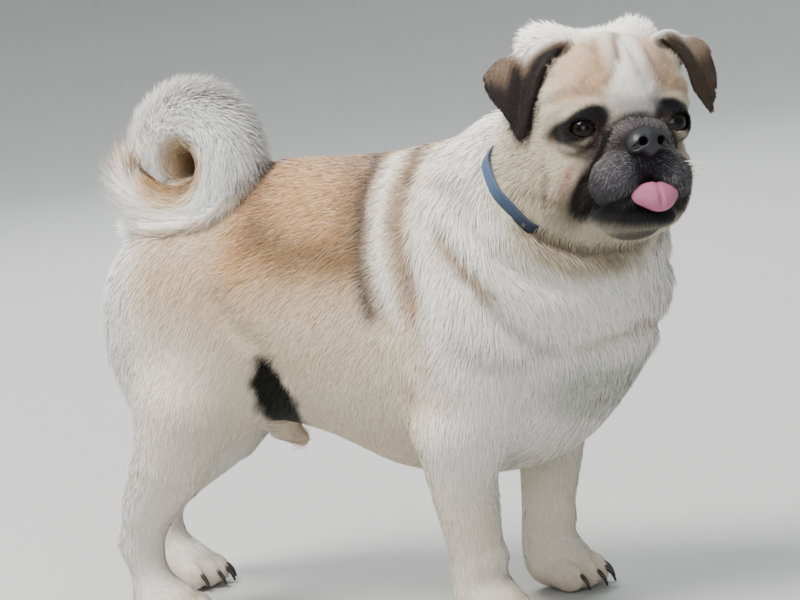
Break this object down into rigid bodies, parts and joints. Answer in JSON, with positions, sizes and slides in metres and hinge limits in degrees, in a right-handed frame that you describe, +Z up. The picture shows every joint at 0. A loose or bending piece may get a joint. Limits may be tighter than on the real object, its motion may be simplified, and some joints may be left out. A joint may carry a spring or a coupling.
{
  "type": "pug",
  "caption": "Life-size still model of a stout standing pug, head turned to its right, tail curled over the back, tip of the tongue out, with a plain blue collar.",
  "frame": {"origin": "on the floor, at the middle of the outline seen from above", "axes": "+X the way the body faces, +Y to the animal's left, +Z up"},
  "size_m": [0.4922, 0.2042, 0.38],
  "materials": {
    "coat": "matte short fur",
    "ear_coat": "matte velvety fur",
    "eye": "wet gloss",
    "nose_leather": "moist satin",
    "tongue_flesh": "moist satin",
    "claw": "satin horn",
    "collar_web": "woven web"
  },
  "bodies": {
    "root": {"torso": "coat", "neck": "coat", "foreleg_right": "coat", "foreleg_left": "coat", "hindleg_right": "coat", "hindleg_left": "coat", "head": "coat", "tail_1": "coat", "tail_2": "coat", "tail_3": "coat", "tail_4": "coat", "ear_right": "ear_coat", "ear_left": "ear_coat", "eye_right": "eye", "eye_left": "eye", "nose": "nose_leather", "tongue": "tongue_flesh", "collar": "collar_web"}
  },
  "joints": []
}
